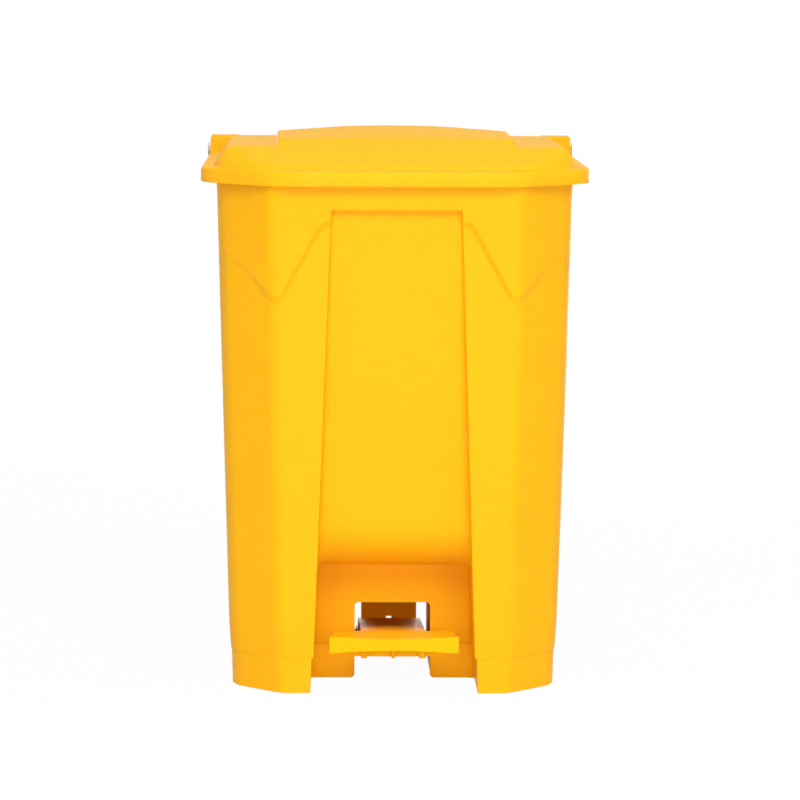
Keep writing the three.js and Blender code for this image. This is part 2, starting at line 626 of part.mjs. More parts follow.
function tread() {
  const ring = (z, inset) => {
    const half = [
      [TREAD_HALF - inset, TREAD_FRONT_Y + inset, TREAD_ROUND],
      [TREAD_HALF - inset, TREAD_FRONT_Y + TREAD_LAND + inset, TREAD_ROUND],
      [TREAD_REAR_HALF - inset, TREAD_REAR_Y - inset, TREAD_ROUND],
    ];
    return { points: outline(half), z };
  };
  const hornZ = (x) => TREAD_TOP + TREAD_HORN * (x / TREAD_HALF) ** 2;
  const slab = loft([ring(TREAD_BOTTOM, 0), ring(hornZ, 0)]);
  const hollow = loft([ring(TREAD_BOTTOM - 1, ARM_T), ring(TREAD_TOP - ARM_T, ARM_T)]);
  const skirtHalf = TREAD_REAR_HALF - SKIRT_INSET;
  const skirtYs = [TREAD_REAR_Y - ARM_T, TREAD_REAR_Y];
  const skirt = box([-skirtHalf, skirtHalf], skirtYs, [TREAD_BOTTOM - SKIRT_DEPTH, TREAD_TOP - 1]);
  const ribYs = [TREAD_FRONT_Y + 1, TREAD_REAR_Y];
  const ribs = [-ARM_HALF, 0, ARM_HALF].map((x) =>
    box([x - RIB_HALF_T, x + RIB_HALF_T], ribYs, [TREAD_BOTTOM - RIB_DEPTH, TREAD_TOP - 1]),
  );
  return join([slab.subtract(hollow), skirt, ...ribs]);
}

/** A side flange of the arm, from the tread to the fork that holds the lower link pin. */
function armFlange(side) {
  const front = TREAD_REAR_Y - ARM_T - 1;
  const shape = polygon([
    [front, TREAD_TOP - 1],
    [front, TREAD_BOTTOM - SKIRT_DEPTH / 2],
    [AXLE_Y - FLANGE_LAND, AXLE_Z - FLANGE_DROP],
    [AXLE_Y + FLANGE_LAND, AXLE_Z - FLANGE_DROP],
    ...arc(BAR_Y, LOWER_PIN_Z, FORK_R, -110, 80),
    [BAR_Y - FORK_OPENING, armTop(BAR_Y - FORK_OPENING)],
  ]);
  return plate(shape, onSide(side, ARM_HALF - ARM_T, ARM_HALF));
}

function pedalLever() {
  const [front, rear] = [TREAD_REAR_Y - 1, BAR_Y - FORK_OPENING];
  const deck = polygon([
    [front, armTop(front) - ARM_T],
    [rear, armTop(rear) - ARM_T],
    [rear, armTop(rear)],
    [front, armTop(front)],
  ]);
  const flanges = SIDES.map(([, side]) => armFlange(side));
  const hub = rod(AXLE_R + AXLE_HUB, [-ARM_HALF, ARM_HALF], AXLE_Y, AXLE_Z);
  const whole = join([tread(), plate(deck, [-ARM_HALF, ARM_HALF]), ...flanges, hub]);
  return cut(whole, [
    rod(AXLE_R + GAP, [-FAR, FAR], AXLE_Y, AXLE_Z),
    rod(LINK_PIN_R + GAP, [-FAR, FAR], BAR_Y, LOWER_PIN_Z),
  ]);
}

// ---- Push bar ----
function pushBar() {
  const [bottom, top] = [LOWER_PIN_Z, UPPER_PIN_Z];
  const webYs = [BAR_FRONT_Y, BAR_FRONT_Y + BAR_T];
  const web = box([-BAR_HALF, BAR_HALF], webYs, [bottom - BAR_WEB_PAST, top + BAR_WEB_PAST]);
  const flange = polygon([
    [BAR_FRONT_Y, bottom - BAR_WEB_PAST],
    ...arc(BAR_REAR_Y - BAR_END_R, bottom, BAR_END_R, -90, 0, 6),
    ...arc(BAR_REAR_Y - BAR_END_R, top, BAR_END_R, 0, 90, 6),
    [BAR_FRONT_Y, top + BAR_WEB_PAST],
  ]);
  const flanges = SIDES.map(([, side]) => plate(flange, onSide(side, BAR_HALF - BAR_T, BAR_HALF)));
  const { halfWidth, z, height } = BAR_HOLE;
  const holeYs = [BAR_FRONT_Y - 1, BAR_FRONT_Y + BAR_T + 1];
  return cut(join([web, ...flanges]), [
    rod(LINK_PIN_R + GAP, [-FAR, FAR], BAR_Y, bottom),
    rod(LINK_PIN_R + GAP, [-FAR, FAR], BAR_Y, top),
    box([-halfWidth, halfWidth], holeYs, [z - height / 2, z + height / 2]),
  ]);
}

// ---- Pins, clips, straps and screws ----
/** A push-on ring clip across X: its bore grips the pin with the usual gap between the meshes. */
function ringClip(pinR, xs, y, z) {
  const bore = [xs[0] - 1, xs[1] + 1];
  return rod(pinR + CLIP_RIM, xs, y, z).subtract(rod(pinR + GAP, bore, y, z));
}

function hingePin(side) {
  const outer = LID_HALF_REAR + GAP;
  const shank = rod(HINGE_PIN_R, onSide(side, EAR_IN - GAP - PIN_END, outer + 1), HINGE_Y, HINGE_Z);
  const head = rod(HINGE_HEAD_R, onSide(side, outer, outer + HINGE_HEAD_T), HINGE_Y, HINGE_Z, 32);
  return shank.add(head);
}

function guideStrap(z) {
  const seat = strapSeat(z) + GAP;
  const zs = [z - STRAP_HALF_Z, z + STRAP_HALF_Z];
  const bridge = box([-STRAP_HALF_X, STRAP_HALF_X], [seat, seat + STRAP_T], zs);
  const tongueHalf = TUNNEL_HALF - 1;
  const tongue = box([-tongueHalf, tongueHalf], [BAR_REAR_Y + STRAP_CLEARANCE, seat + 1], zs);
  const holes = SIDES.map(([, side]) =>
    stud(SCREW_R + GAP, side * SCREW_X, [seat - 1, seat + STRAP_T + 1], z),
  );
  return cut(bridge.add(tongue), holes);
}

function strapScrew(z, side) {
  const face = strapSeat(z) + STRAP_T + 2 * GAP;
  const shank = stud(SCREW_R, side * SCREW_X, [face - SCREW_LENGTH, face + 1], z);
  return shank.add(stud(SCREW_HEAD_R, side * SCREW_X, [face, face + SCREW_HEAD_T], z));
}

// ---- Materials ----
function plastic(color) {
  return new THREE.MeshStandardMaterial({ color, roughness: 0.42, metalness: 0 });
}

function steel() {
  return new THREE.MeshStandardMaterial({ color: 0x8f9194, roughness: 0.32, metalness: 1 });
}

const YELLOW = 0xfccb2a;
const bin = new THREE.Group();
bin.name = "pedal_bin";

bin.add(mesh("body_shell", bodyShell(), plastic(YELLOW)));
bin.add(mesh("lid_shell", lidShell(), plastic(YELLOW)));
bin.add(mesh("pedal_lever", pedalLever(), plastic(YELLOW)));
bin.add(mesh("push_bar", pushBar(), plastic(YELLOW)));

const lineUps = [
  { pin: "pedal_axle", clip: "axle_clip", r: AXLE_R, seat: TUNNEL_HALF + WALL, y: AXLE_Y, z: AXLE_Z },
  { pin: "lower_link_pin", clip: "lower_link_clip", r: LINK_PIN_R, seat: ARM_HALF, y: BAR_Y, z: LOWER_PIN_Z },
  { pin: "upper_link_pin", clip: "upper_link_clip", r: LINK_PIN_R, seat: LUG_OUT, y: BAR_Y, z: UPPER_PIN_Z },
];
for (const { pin, clip, r, seat, y, z } of lineUps) {
  const clipIn = seat + GAP;
  const end = clipIn + PIN_END;
  bin.add(mesh(pin, rod(r, [-end, end], y, z), steel()));
  for (const [name, side] of SIDES) {
    const clipXs = onSide(side, clipIn, clipIn + CLIP_T);
    bin.add(mesh(`${clip}_${name}`, ringClip(r, clipXs, y, z), steel()));
  }
}

for (const [name, side] of SIDES) {
  const clipXs = onSide(side, EAR_IN - GAP - CLIP_T, EAR_IN - GAP);
  bin.add(mesh(`hinge_pin_${name}`, hingePin(side), steel()));
  bin.add(mesh(`hinge_clip_${name}`, ringClip(HINGE_PIN_R, clipXs, HINGE_Y, HINGE_Z), steel()));
}

STRAP_ZS.forEach((z, i) => {
  const level = ["lower", "upper"][i];
  bin.add(mesh(`guide_strap_${level}`, guideStrap(z), plastic(YELLOW)));
  for (const [name, side] of SIDES) {
    bin.add(mesh(`strap_screw_${level}_${name}`, strapScrew(z, side), steel()));
  }
});

export default bin;
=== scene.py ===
import bmesh
import bpy
import json
import math
from mathutils import Matrix, Vector
from mathutils.kdtree import KDTree


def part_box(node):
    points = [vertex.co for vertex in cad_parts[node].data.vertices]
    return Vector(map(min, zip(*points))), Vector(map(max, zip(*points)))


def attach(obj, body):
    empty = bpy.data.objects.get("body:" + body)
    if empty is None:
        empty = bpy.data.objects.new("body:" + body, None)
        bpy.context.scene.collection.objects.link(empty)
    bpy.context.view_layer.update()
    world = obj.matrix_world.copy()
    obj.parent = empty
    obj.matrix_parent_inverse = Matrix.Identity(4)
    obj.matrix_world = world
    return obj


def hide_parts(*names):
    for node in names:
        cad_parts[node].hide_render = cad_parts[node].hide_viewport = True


# Pedal bin, in metres, in the CAD frame. Shapes are worked out in millimetres and laid down in metres.
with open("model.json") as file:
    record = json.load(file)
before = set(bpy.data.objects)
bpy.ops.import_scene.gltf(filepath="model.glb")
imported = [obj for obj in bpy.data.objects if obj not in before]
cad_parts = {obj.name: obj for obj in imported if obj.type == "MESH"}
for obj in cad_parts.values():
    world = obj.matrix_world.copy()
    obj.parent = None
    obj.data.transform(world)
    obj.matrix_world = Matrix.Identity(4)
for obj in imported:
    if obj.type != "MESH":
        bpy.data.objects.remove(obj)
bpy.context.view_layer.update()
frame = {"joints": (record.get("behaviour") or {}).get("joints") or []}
MM = 0.001


def mm_box(node):
    low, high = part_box(node)
    return low / MM, high / MM


TREAD_FRONT = mm_box("pedal_lever")[0].y
bar_low, bar_high = mm_box("push_bar")
joints = {j["name"]: j for j in frame["joints"]}
HINGE_Y, HINGE_Z = (v / MM for v in joints["lid_hinge"]["pos_m"][1:])
AXLE_Y, AXLE_Z = (v / MM for v in joints["pedal_pivot"]["pos_m"][1:])
LINK_Y, LOWER_PIN_Z = (v / MM for v in joints["bar_pivot"]["pos_m"][1:])
UPPER_PIN_Z = sum(b[2] for b in mm_box("upper_link_pin")) / 2

# Bucket: each wall's distance from the middle at the foot, and how much further out it is at the rim.
WALL = 3.0
RIM_Z, FLANGE, FLANGE_FOOT_Z, NECK_FOOT_Z = 564.7, 3.0, 559.2, 540.0
FOOT_FRONT, FRONT_DRAFT = 166.3, 16.1
FOOT_SIDE, SIDE_DRAFT = 177.9, 16.4
FOOT_REAR, REAR_DRAFT = 158.0, 11.0
CORNER_WIDTH, CORNER_DEPTH = 53.9, 57.4
PROUD = 4.5  # the wall above the V ledges stands this far out
RECESS_FOOT, RECESS_TAPER, ROOF_Z = 88.8, 18.9, 526.0
PANEL_TOP, PANEL_LOW, PANEL_LOW_Z, KNEE_Z, LOWER_PANEL = -176.0, -150.0, 185.0, 128.0, -62.0
NECK_Y, CHANNEL_Y, CHANNEL_HALF = 150.0, 133.0, 42.7
BAND_Z, BAND_INSET, CURL_Z = 38.6, 2.0, 75.0
FLOOR_Z = 108.0
SLOT_HALF, SLOT_TOP, SLOT_BEND = 41.7, 84.5, 4.5

# Lid: its rim and the foot of its dome in plan, then the dome's heights.
LID_HALF, LID_REAR_HALF, LID_DEPTH, RIM_CORNER = 211.0, 206.5, 200.0, 131.0
DOME_FRONT, DOME_HALF, DOME_REAR, DOME_CORNER, DOME_Z = -186.0, 198.0, 196.0, 146.0, 570.5
TIER_Z, TIER_FALL = 591.5, 4.2
CROWN_HALF, CROWN_REAR, CROWN_FOOT_Z, CROWN_Z = 132.5, 132.0, 583.3, 599.5
EAR_FRONT, EAR_IN, EAR_TOP = 156.0, 172.0, 587.3

# Pedal: the tread's half width, the flat part of it, and its rear edge.
TREAD_HALF, TREAD_FLAT, TREAD_REAR = 70.0, 49.5, -115.0

# Bore radii, the straps' thickness and how far in from a strap's end its screws sit.
AXLE_BORE, PIN_BORE, SCREW_BORE = 5.3, 4.3, 2.3
STRAP_THICK, SCREW_INSET = 3.0, 8.0


# ---- Modelling helpers ----
def clear():
    """Object mode with nothing selected."""
    if bpy.context.object and bpy.context.object.mode != "OBJECT":
        bpy.ops.object.mode_set(mode="OBJECT")
    bpy.ops.object.select_all(action="DESELECT")


def pick(ob):
    clear()
    ob.select_set(True)
    bpy.context.view_layer.objects.active = ob
    return ob


def apply(ob, kind, **settings):
    pick(ob)
    made = ob.modifiers.new(kind, kind)
    for key, value in settings.items():
        setattr(made, key, value)
    bpy.ops.object.modifier_apply(modifier=made.name)


def combine(ob, tool, how="DIFFERENCE"):
    apply(ob, "BOOLEAN", object=tool, operation=how, solver="EXACT")
    bpy.data.objects.remove(tool)
    return ob


def loft(name, rings, caps=True, seam=False):
    """A circle laid on the first ring and extruded edge by edge onto each ring after it, in millimetres."""
    clear()
    bpy.ops.mesh.primitive_circle_add(vertices=len(rings[0]), fill_type="NOTHING")
    ob = bpy.context.object
    ob.name = name
    bpy.ops.object.mode_set(mode="EDIT")
    bm = bmesh.from_edit_mesh(ob.data)
    bm.verts.ensure_lookup_table()
    for vert, point in zip(bm.verts, rings[0]):
        vert.co = Vector(point) * MM
    row = [vert.index for vert in bm.verts]
    first = row
    for ring in rings[1:]:
        places = {tuple(bm.verts[i].co): k for k, i in enumerate(row)}
        bpy.ops.mesh.extrude_edges_move()
        bm = bmesh.from_edit_mesh(ob.data)
        bm.verts.ensure_lookup_table()
        fresh = sorted((places[tuple(v.co)], v.index) for v in bm.verts if v.select)
        row = [index for _, index in fresh]
        for index, point in zip(row, ring):
            bm.verts[index].co = Vector(point) * MM
    if caps:
        for loop in (first, row):
            bpy.ops.mesh.select_all(action="DESELECT")
            for k, index in enumerate(loop):
                pair = {index, loop[(k + 1) % len(loop)]}
                edge = next(e for e in bm.verts[index].link_edges if {v.index for v in e.verts} == pair)
                edge.select_set(True)
            bpy.ops.mesh.edge_face_add()
            bm = bmesh.from_edit_mesh(ob.data)
            bm.verts.ensure_lookup_table()
    bpy.ops.mesh.select_all(action="SELECT")
    if seam:
        bpy.ops.mesh.remove_doubles(threshold=1e-6)
    bpy.ops.mesh.normals_make_consistent(inside=False)
    clear()
    return ob


def rounded(corners):
    """Points along an open outline whose inner corners are bent; a corner is (x, y, bend, steps)."""
    points = []
    for i, (x, y, bend, steps) in enumerate(corners):
        here = Vector((x, y))
        if not steps:
            points.append(here)
            continue
        before = here + (Vector(corners[i - 1][:2]) - here).normalized() * bend
        after = here + (Vector(corners[i + 1][:2]) - here).normalized() * bend
        for k in range(steps + 1):
            t = k / steps
            points.append(before * (1 - t) ** 2 + here * 2 * t * (1 - t) + after * t * t)
    return points


def mirrored(half):
    """A closed ring of (x, y, z) points from its half at +X, whose two ends lie on the middle plane."""
    return half + [(-x, y, z) for x, y, z in reversed(half[1:-1])]


def arc(y, z, radius, start, end, steps=10):
    angles = [math.radians(start + (end - start) * k / steps) for k in range(steps + 1)]
    return [(y + radius * math.cos(a), z + radius * math.sin(a)) for a in angles]


def plate(name, outline, x0, x1, edge=0.0):
    """A plate across X from its (y, z) outline, with its edges broken."""
    ob = loft(name, [[(x, y, z) for y, z in outline] for x in (x0, x1)])
    if edge:
        apply(ob, "BEVEL", width=edge * MM, segments=2, limit_method="ANGLE", angle_limit=math.radians(35))
    return ob


def block(name, low, high, edge, segments=2):
    """A cube brought to two corners, in millimetres, with its edges broken."""
    clear()
    low, high = Vector(low) * MM, Vector(high) * MM
    bpy.ops.mesh.primitive_cube_add(size=1, location=(low + high) / 2, scale=high - low)
    ob = bpy.context.object
    ob.name = name
    bpy.ops.object.transform_apply(location=True, rotation=True, scale=True)
    bpy.ops.object.mode_set(mode="EDIT")
    bpy.ops.mesh.select_all(action="SELECT")
    if edge:
        bpy.ops.mesh.bevel(offset=edge * MM, segments=segments)
    clear()
    return ob


def turned(name, axis, centre, profile, sides=40, seam=False):
    """A turned piece: circles of (distance along the axis, radius) about a centre, in millimetres."""
    centre = Vector(centre)
    along = Vector((1, 0, 0)) if axis == "X" else Vector((0, 1, 0))
    across = Vector((0, 0, 1))
    third = along.cross(across)
    rings = []
    for distance, radius in profile:
        angles = [2 * math.pi * k / sides for k in range(sides)]
        spokes = [across * math.cos(a) + third * math.sin(a) for a in angles]
        rings.append([centre + along * distance + spoke * radius for spoke in spokes])
    return loft(name, rings, caps=not seam, seam=seam)


def smooth(ob, degrees=32):
    pick(ob)
    bpy.ops.object.shade_smooth_by_angle(angle=math.radians(degrees))
    return ob


def crisp(ob, rings):
    """Marks the edges that run along these rings sharp, however shallow their fold is."""
    tree = KDTree(sum(len(ring) for ring in rings))
    for k, ring in enumerate(rings):
        for i, point in enumerate(ring):
            tree.insert(Vector(point) * MM, k * 1000 + i)
    tree.balance()
    pick(ob)
    bpy.ops.object.mode_set(mode="EDIT")
    bpy.ops.mesh.select_all(action="DESELECT")
    bm = bmesh.from_edit_mesh(ob.data)
    near = {}
    for vert in bm.verts:
        _, index, distance = tree.find(vert.co)
        if distance < 2e-5:
            near[vert] = index
    for edge in bm.edges:
        ends = [near.get(vert) for vert in edge.verts]
        if None not in ends and abs(ends[0] - ends[1]) == 1:
            edge.select_set(True)
    bpy.ops.mesh.mark_sharp()
    clear()


def place(ob, body, slot, material, *nodes):
    """The finished piece on its body, standing for its CAD nodes."""
    ob.data.materials.clear()
    ob.data.materials.append(material)
    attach(ob, body)
    if nodes:
        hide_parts(*nodes)
    return ob


# ---- Materials ----
def node(tree, kind, **values):
    made = tree.nodes.new(kind)
    for key, value in values.items():
        if key in made.inputs:
            made.inputs[key].default_value = value
        else:
            setattr(made, key, value)
    return made


def yellow_plastic(name, deep, light, roughness, gloss):
    """Moulded polypropylene: cloudy colour, a fine grain, faint flow marks and a warm glow in thin walls."""
    made = bpy.data.materials.new(name)
    made.use_nodes = True
    tree = made.node_tree
    shader = tree.nodes["Principled BSDF"]
    shader.inputs["Specular IOR Level"].default_value = gloss
    shader.inputs["IOR"].default_value = 1.49
    shader.inputs["Subsurface Weight"].default_value = 0.3
    shader.inputs["Subsurface Radius"].default_value = (1.0, 0.07, 0.01)
    shader.inputs["Subsurface Scale"].default_value = 0.006
    place_of = node(tree, "ShaderNodeTexCoord")
    clouds = node(tree, "ShaderNodeTexNoise", Scale=9.0, Detail=4.0, Roughness=0.55)
    tint = node(tree, "ShaderNodeMix", data_type="RGBA")
    tint.inputs[6].default_value = (*deep, 1)
    tint.inputs[7].default_value = (*light, 1)
    sheen = node(tree, "ShaderNodeMapRange")
    sheen.inputs["To Min"].default_value = roughness - 0.04
    sheen.inputs["To Max"].default_value = roughness + 0.05
    fine = node(tree, "ShaderNodeTexNoise", Scale=950.0, Detail=2.0, Roughness=0.6)
    flow = node(tree, "ShaderNodeTexNoise", Scale=22.0, Detail=2.0, Roughness=0.5)
    fine_bump = node(tree, "ShaderNodeBump", Strength=0.12, Distance=0.0002)
    flow_bump = node(tree, "ShaderNodeBump", Strength=0.12, Distance=0.0008)
    for noise in (clouds, fine, flow):
        tree.links.new(place_of.outputs["Object"], noise.inputs["Vector"])
    tree.links.new(clouds.outputs["Fac"], tint.inputs[0])
    tree.links.new(tint.outputs[2], shader.inputs["Base Color"])
    tree.links.new(clouds.outputs["Fac"], sheen.inputs["Value"])
    tree.links.new(sheen.outputs["Result"], shader.inputs["Roughness"])
    tree.links.new(fine.outputs["Fac"], fine_bump.inputs["Height"])
    tree.links.new(flow.outputs["Fac"], flow_bump.inputs["Height"])
    tree.links.new(flow_bump.outputs["Normal"], fine_bump.inputs["Normal"])
    tree.links.new(fine_bump.outputs["Normal"], shader.inputs["Normal"])
    return made


def zinc_steel(name, colour, roughness):
    """Zinc-plated steel with a mottled plating and turning marks."""
    made = bpy.data.materials.new(name)
    made.use_nodes = True
    tree = made.node_tree
    shader = tree.nodes["Principled BSDF"]
    shader.inputs["Metallic"].default_value = 1.0
    place_of = node(tree, "ShaderNodeTexCoord")
    mottle = node(tree, "ShaderNodeTexNoise", Scale=160.0, Detail=4.0)
    tint = node(tree, "ShaderNodeMix", data_type="RGBA")
    tint.inputs[6].default_value = (*[c * 0.8 for c in colour], 1)
    tint.inputs[7].default_value = (*colour, 1)
    gloss = node(tree, "ShaderNodeMapRange")
    gloss.inputs["To Min"].default_value = roughness - 0.07
    gloss.inputs["To Max"].default_value = roughness + 0.1
    marks = node(tree, "ShaderNodeTexNoise", Scale=1800.0, Detail=1.0)
    bump = node(tree, "ShaderNodeBump", Strength=0.15, Distance=0.0001)
    for noise in (mottle, marks):
        tree.links.new(place_of.outputs["Object"], noise.inputs["Vector"])
    tree.links.new(mottle.outputs["Fac"], tint.inputs[0])
    tree.links.new(tint.outputs[2], shader.inputs["Base Color"])
    tree.links.new(mottle.outputs["Fac"], gloss.inputs["Value"])
    tree.links.new(gloss.outputs["Result"], shader.inputs["Roughness"])
    tree.links.new(marks.outputs["Fac"], bump.inputs["Height"])
    tree.links.new(bump.outputs["Normal"], shader.inputs["Normal"])
    return made


BUCKET_YELLOW = yellow_plastic("bucket_yellow", (0.975, 0.452, 0.006), (0.985, 0.478, 0.008), 0.42, 0.05)
LID_YELLOW = yellow_plastic("lid_yellow", (0.975, 0.455, 0.006), (0.985, 0.48, 0.008), 0.5, 0.09)
PEDAL_YELLOW = yellow_plastic("pedal_yellow", (0.975, 0.485, 0.005), (0.985, 0.51, 0.007), 0.5, 0.015)
STEEL = zinc_steel("zinc_steel", (0.50, 0.51, 0.53), 0.32)


# ---- Bucket ----
def along(low, high, z, top=RIM_Z):
    return low + (high - low) * z / top


def panel_y(z, inset=0.0):
    """Depth of the recess's back: a leaning panel, a quarter round under it, then the lower panel."""
    if z >= PANEL_LOW_Z:
        return PANEL_LOW + inset + (PANEL_TOP - PANEL_LOW) * (z - PANEL_LOW_Z) / (ROOF_Z - PANEL_LOW_Z)
    share = (PANEL_LOW_Z - z) / (PANEL_LOW_Z - KNEE_Z - inset)
    if share >= 1:
        return LOWER_PANEL + inset * min(1.0, (share - 1) * 40)
    return LOWER_PANEL + (PANEL_LOW + inset - LOWER_PANEL) * math.sqrt(1 - share * share)


def wall_inset(z):
    """The wall curls in a little above the base band, which is set in further."""
    curl = max(0.0, (CURL_Z - z) / 36.0)
    return BAND_INSET if z < BAND_Z else 1.2 * min(1.0, curl) ** 1.5


# Shares of the way across the front wall, and across the cut-off corner, where the outline has a point.
FRONT_STATIONS = (0.04, 0.14, 0.19, 0.25, 0.5, 0.75)
FACET_STATIONS = (0.3, 0.45, 0.6)


def section(z, proud=0.0, open_front=True, neck=False, inset=0.0, flange=0.0):
    """Half of the bucket's outline at a height, from the middle of the front to the middle of the rear."""
    grow = 1 + SIDE_DRAFT / FOOT_SIDE * z / RIM_Z
    curl = wall_inset(z)
    edge = inset + (curl if z < BAND_Z else 0.0)
    inset += curl
    out = inset - flange
    front = -along(FOOT_FRONT, FOOT_FRONT + FRONT_DRAFT, z) - proud + out
    side = FOOT_SIDE * grow
    rear = NECK_Y - inset if neck else along(FOOT_REAR, FOOT_REAR + REAR_DRAFT, z) - inset
    recess = along(RECESS_FOOT, RECESS_FOOT - RECESS_TAPER, z, ROOF_Z)
    lean = inset * math.tan(math.pi / 8)
    if open_front:
        back = panel_y(z, inset)
        room = back - front
        round_share = max(0.0, 1 - abs(z - 150.0) / 40.0)
        bend = min(12.0 + 16.0 * round_share, room * 0.6)
        notch = [(0, back, 0, 0), (recess + edge, back, bend, 8), (recess + edge, front, 1.6, 5)]
    else:
        notch = [(0, front, 0, 0), (recess - 9, front, 3, 8), (recess, front, 1.6, 5)]
    corner = (FOOT_SIDE - CORNER_WIDTH) * grow - out * math.tan(math.pi / 8)
    left = recess + edge + 1.7
    spans = [(left + (corner - 10.5 - left) * t, front, 0, 0) for t in FRONT_STATIONS]
    cheek = front + proud + CORNER_DEPTH * grow + lean
    sides = [(side - out, cheek, 20, 10), (side - out, rear, 6 if neck else 24, 8)]
    slot = CHANNEL_HALF + inset
    channel = [(slot, rear, 1.5, 5), (slot, CHANNEL_Y - inset, 1.5, 5), (0, CHANNEL_Y - inset, 0, 0)]
    across, back_by = side - out - corner, cheek - front
    facet = [(corner + across * t, front + back_by * t, 0, 0) for t in FACET_STATIONS]
    return rounded(notch + spans + [(corner, front, 10, 10)] + facet + sides + channel)


def between(marks, x):
    """Straight-line value at x of a curve given by its (x, value) marks."""
    for (x0, v0), (x1, v1) in zip(marks, marks[1:]):
        if x <= x1:
            return v0 + (v1 - v0) * max(0.0, x - x0) / (x1 - x0)
    return marks[-1][1]


# The V ledge's upper edge, as (distance from the middle, height): it leaves the recess, turns down at the
# knee, drops to the tip at the front crease, then rises in a bow over the cut-off corner to the side wall.
LEDGE_START, LEDGE_KNEE, LEDGE_TIP = (70.0, 514.5), (82.0, 513.2), (128.4, 427.7)
LEDGE_BOW, LEDGE_END, LEDGE_SIDE = (156.0, 458.0), (184.0, 476.2), (188.0, 479.5)
KNEE_BEND, TIP_BEND, BOW_BEND = 6.0, 16.0, 14.0
LEDGE_TOP = rounded([
    (*LEDGE_START, 0, 0), (*LEDGE_KNEE, KNEE_BEND, 4), (*LEDGE_TIP, TIP_BEND, 10),
    (*LEDGE_BOW, BOW_BEND, 8), (*LEDGE_END, 0, 0), (*LEDGE_SIDE, 0, 0),
])
# How far below that edge its sloping face meets the wall: deepest at the knee, fading out over the corner.
LEDGE_FALL = [(70, 4.9), (79, 8.4), (84, 12), (91, 12), (110, 10), (135, 10.7), (148, 9.6), (188, 0.6)]
# The rings of the upper edge and of its slope's foot, counted from the rim, and where their crease ends.
LEDGE_RINGS, CREASE_END = slice(12, 14), 186.0


def ring_at(heights, **kind):
    """A ring whose stations stand at their own heights."""
    count = len(section(0.0))
    cache = {}
    half = []
    for i in range(count):
        z = heights(i) if callable(heights) else heights
        if z not in cache:
            cache[z] = section(z, **kind)
        x, y = cache[z][i]
        half.append((x, y, z))
    return mirrored(half)


def bucket_rings():
    guess = section(460.0, proud=PROUD)
    upper = [section(between(LEDGE_TOP, x), proud=PROUD)[i].x for i, (x, _) in enumerate(guess)]
    ledge = [between(LEDGE_TOP, x) for x in upper]
    fall = [between(LEDGE_FALL, x) for x in upper]
    roof = [ROOF_Z if section(500.0)[i].y < 60 else ROOF_Z + 1 for i in range(len(guess))]
    under = [z - drop for z, drop in zip(ledge, fall)]
    top = {"proud": PROUD, "open_front": False, "neck": True}
    rings = [
        ring_at(RIM_Z, flange=2.2, **top), ring_at(RIM_Z - 0.3, flange=2.8, **top),
        ring_at(RIM_Z - 1.0, flange=FLANGE, **top), ring_at(FLANGE_FOOT_Z, flange=FLANGE, **top),
        ring_at(FLANGE_FOOT_Z - 0.5, flange=2.6, **top), ring_at(FLANGE_FOOT_Z - 0.7, flange=0.4, **top),
        ring_at(FLANGE_FOOT_Z - 1.4, **top), ring_at(NECK_FOOT_Z, **top),
        ring_at(lambda i: roof[i] + 0.4, **top),
        ring_at(lambda i: roof[i], proud=PROUD),
    ]
    for share in (0.34, 0.67, 1.0):
        rings.append(ring_at(lambda i: roof[i] + (ledge[i] - roof[i]) * share, proud=PROUD))
    rings.append(ring_at(lambda i: under[i]))
    for share in (0.25, 0.5, 0.75):
        rings.append(ring_at(lambda i: under[i] + (PANEL_LOW_Z - under[i]) * share))
    for k in range(11):
        rings.append(ring_at(PANEL_LOW_Z - (PANEL_LOW_Z - KNEE_Z) * math.cos(math.radians(90 - 9 * k))))
    for z in (112.0, 95.0, CURL_Z, 66.0, 57.0, 48.0, 42.0, BAND_Z + 0.7, BAND_Z - 0.7, 20.0, 0.7):
        rings.append(ring_at(z))
    return rings + [ring_at(0.0, inset=0.7)]


def bucket_hollow_rings():
    """The inner face, from the foot of the skirt up to the rim."""
    rings = [ring_at(z, inset=WALL) for z in (0.0, BAND_Z - 0.7, BAND_Z + 4.0, CURL_Z, 112.0, KNEE_Z)]
    depth = PANEL_LOW_Z - KNEE_Z - WALL
    rings += [ring_at(PANEL_LOW_Z - depth * math.cos(math.radians(9 * k)), inset=WALL) for k in range(11)]
    rings += [ring_at(z, inset=WALL) for z in (270.0, 355.0, 440.0)]
    rings += [ring_at(519.0, inset=WALL), ring_at(523.0, inset=WALL, proud=PROUD)]
    roof = [ROOF_Z + WALL if p.y < 60 else ROOF_Z + 1 - WALL for p in section(500.0)]
    rings.append(ring_at(lambda i: roof[i], inset=WALL, proud=PROUD))
    for z in (lambda i: roof[i] + 0.4, 545.0, RIM_Z - 0.6):
        rings.append(ring_at(z, inset=WALL, proud=PROUD, open_front=False, neck=True))
    return rings + [ring_at(RIM_Z, inset=WALL - 0.6, proud=PROUD, open_front=False, neck=True)]


